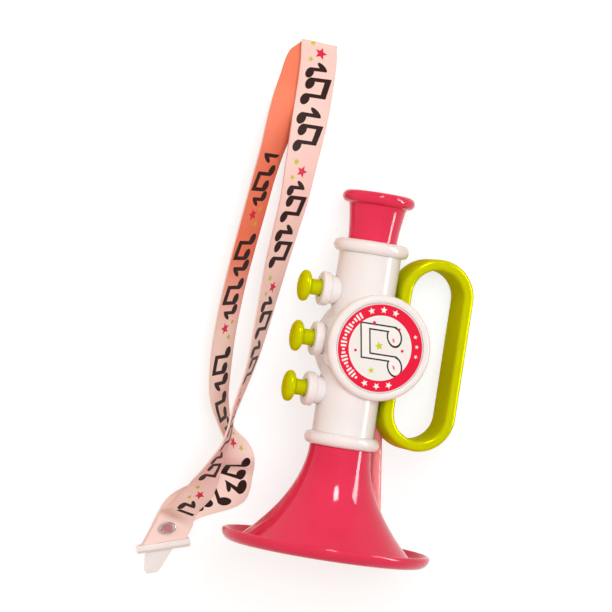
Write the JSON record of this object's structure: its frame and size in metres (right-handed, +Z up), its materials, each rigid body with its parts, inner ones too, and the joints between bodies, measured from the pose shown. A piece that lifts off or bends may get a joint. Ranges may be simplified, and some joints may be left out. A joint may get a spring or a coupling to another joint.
{
  "type": "toy trumpet",
  "caption": "Toy trumpet laid on its back with a flared bell, a mouthpiece, spring press buttons on its side, a finger handle, a round badge and a separate ribbon lanyard.",
  "frame": {"origin": "middle of the ground area that the lying trumpet covers, on the ground; the lanyard is not counted", "axes": "+Z up from the ground; +Y along the trumpet's length from the bell towards the mouthpiece; +X towards the handle's side"},
  "size_m": [0.1655, 0.3146, 0.113],
  "materials": {
    "red_plastic": "gloss",
    "white_plastic": "gloss",
    "lime_plastic": "gloss",
    "badge_print": "printed, satin",
    "steel": "plain",
    "reed_brass": "plain",
    "pad_rubber": "matte",
    "ribbon_fabric": "printed satin"
  },
  "bodies": {
    "root": {"mouthpiece": "red_plastic", "upper_collar": "white_plastic", "lower_collar": "white_plastic", "front_shell": "white_plastic", "rear_shell": "white_plastic", "badge": "badge_print", "bell": "red_plastic", "handle": "lime_plastic", "bell_brace": "red_plastic", "reed_plate": "white_plastic", "reed_1": "reed_brass", "reed_2": "reed_brass", "reed_3": "reed_brass", "air_duct": "white_plastic", "button_guide_1": "white_plastic", "button_guide_2": "white_plastic", "button_guide_3": "white_plastic", "button_spring_1": "steel", "button_spring_2": "steel", "button_spring_3": "steel", "shell_screw_1": "steel", "shell_screw_2": "steel", "shell_screw_3": "steel", "shell_screw_4": "steel", "lanyard_ribbon": "ribbon_fabric", "lanyard_rivet": "steel", "lanyard_clip": "white_plastic"},
    "press_1": {"button_1": "lime_plastic", "button_pad_1": "pad_rubber"},
    "press_2": {"button_2": "lime_plastic", "button_pad_2": "pad_rubber"},
    "press_3": {"button_3": "lime_plastic", "button_pad_3": "pad_rubber"}
  },
  "joints": [
    {"name": "button_1_press", "type": "slide", "parent": "root", "child": "press_1", "axis": [0.9609, -0.0535, -0.2715], "range_m": [0, 0.0045], "stiffness_N_per_m": 150, "springref_m": -0.002, "deforming": ["button_spring_1"]},
    {"name": "button_2_press", "type": "slide", "parent": "root", "child": "press_2", "axis": [0.9609, -0.0535, -0.2715], "range_m": [0, 0.0045], "stiffness_N_per_m": 150, "springref_m": -0.002, "deforming": ["button_spring_2"]},
    {"name": "button_3_press", "type": "slide", "parent": "root", "child": "press_3", "axis": [0.9609, -0.0535, -0.2715], "range_m": [0, 0.0045], "stiffness_N_per_m": 150, "springref_m": -0.002, "deforming": ["button_spring_3"]}
  ]
}
